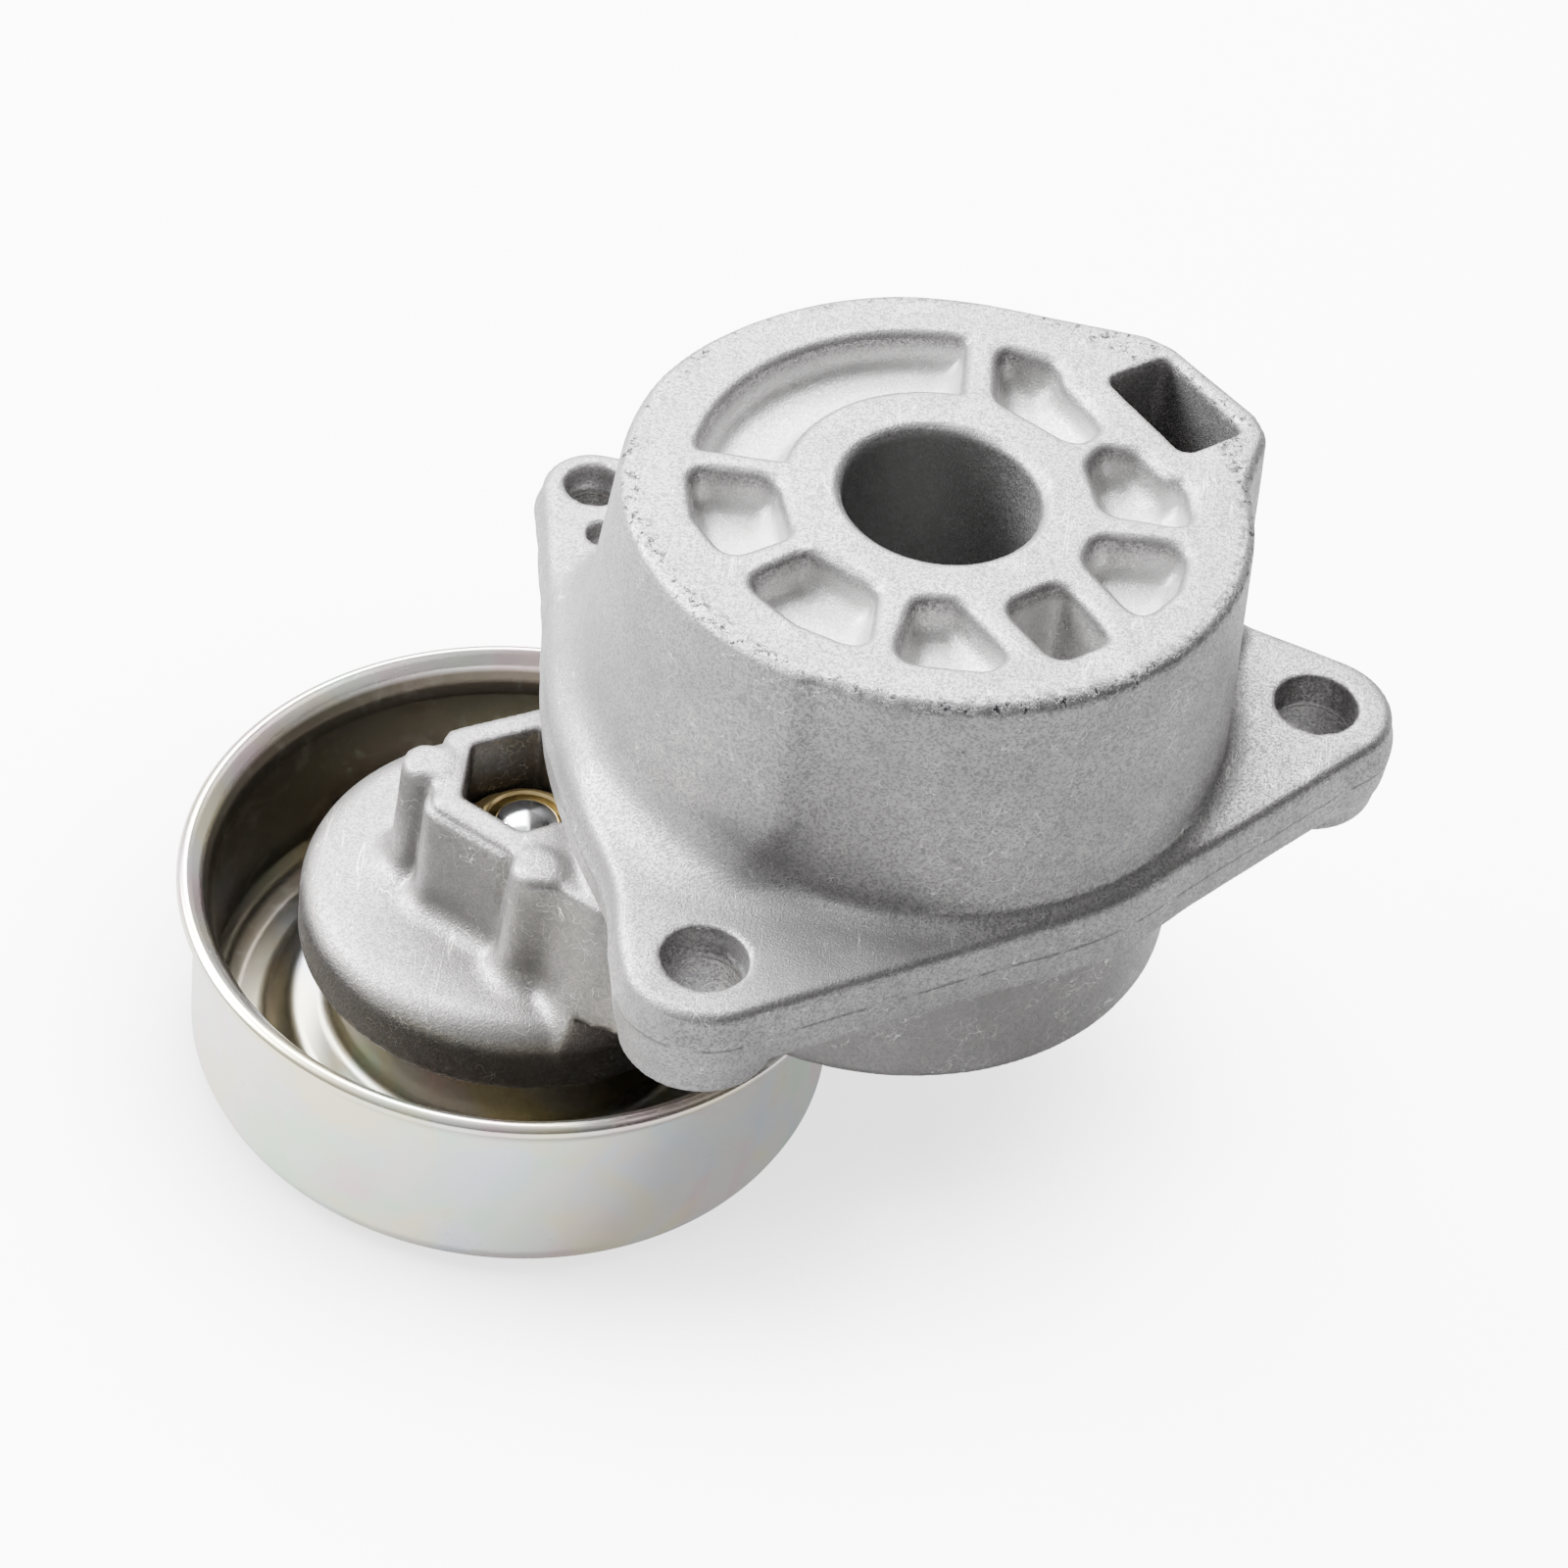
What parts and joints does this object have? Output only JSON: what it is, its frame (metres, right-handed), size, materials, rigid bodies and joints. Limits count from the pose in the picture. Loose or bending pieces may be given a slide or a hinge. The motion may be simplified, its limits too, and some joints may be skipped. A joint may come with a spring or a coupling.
{
  "type": "belt tensioner idler",
  "caption": "Automatic belt tensioner: a cast spring housing with a three-eared flange, a sprung swing arm and a smooth flat idler pulley on a sealed ball bearing.",
  "frame": {"origin": "on the arm's pivot axis, in the plane of the three ears' faces that lie against the engine", "axes": "+Z along the pivot axis, out of the ears' faces towards the spring housing's closed end and into the engine; +X towards the flange's long right ear; +Y completes the right-handed frame; the pulley lies towards -X and -Z"},
  "size_m": [0.1266, 0.0862, 0.0801],
  "materials": {
    "cast_aluminium": "as-cast die-cast aluminium, satin, fine grain",
    "pulley_steel": "drawn sheet steel, smooth and bright, thin clear passivation",
    "bearing_steel": "ground bearing steel",
    "spring_steel": "shot-peened dark spring wire",
    "yellow_zinc": "yellow passivated zinc plating on steel",
    "clear_zinc": "bright zinc plating on steel",
    "nylon": "natural glass-filled nylon",
    "seal_rubber": "black nitrile rubber",
    "bronze": "sintered bronze",
    "friction_plastic": "black friction compound"
  },
  "bodies": {
    "housing": {"housing": "cast_aluminium", "pivot_shaft": "bearing_steel", "retaining_plate": "clear_zinc", "torsion_spring": "spring_steel", "spring_seat": "nylon", "spring_liner": "nylon"},
    "arm": {"tensioner_arm": "cast_aluminium", "damper_shoe": "friction_plastic", "upper_bush": "bronze", "lower_bush": "bronze", "bearing_inner_ring": "bearing_steel", "bearing_sleeve": "bearing_steel", "front_washer": "clear_zinc", "pulley_bolt": "clear_zinc", "pulley_nut": "yellow_zinc"},
    "pulley": {"pulley_shell": "pulley_steel", "bearing_outer_ring": "bearing_steel", "rear_seal": "seal_rubber", "front_seal": "seal_rubber"},
    "cage": {"bearing_cage": "nylon", "ball_1": "bearing_steel", "ball_2": "bearing_steel", "ball_3": "bearing_steel", "ball_4": "bearing_steel", "ball_5": "bearing_steel", "ball_6": "bearing_steel", "ball_7": "bearing_steel", "ball_8": "bearing_steel"}
  },
  "joints": [
    {"name": "arm_swing", "type": "hinge", "parent": "housing", "child": "arm", "pos_m": [0, 0, -0.015], "axis": [0, 0, 1], "range_deg": [-45, 0], "stiffness_Nm_per_rad": 20, "springref_deg": 28.65},
    {"name": "pulley_spin", "type": "hinge", "parent": "arm", "child": "pulley", "pos_m": [-0.0385, -0.0069, -0.0419], "axis": [0, 0, 1], "continuous": true},
    {"name": "cage_spin", "type": "hinge", "parent": "arm", "child": "cage", "pos_m": [-0.0385, -0.0069, -0.0419], "axis": [0, 0, 1], "continuous": true}
  ],
  "couplings": [
    {"joint": "cage_spin", "follows": "pulley_spin", "ratio": 0.6}
  ]
}
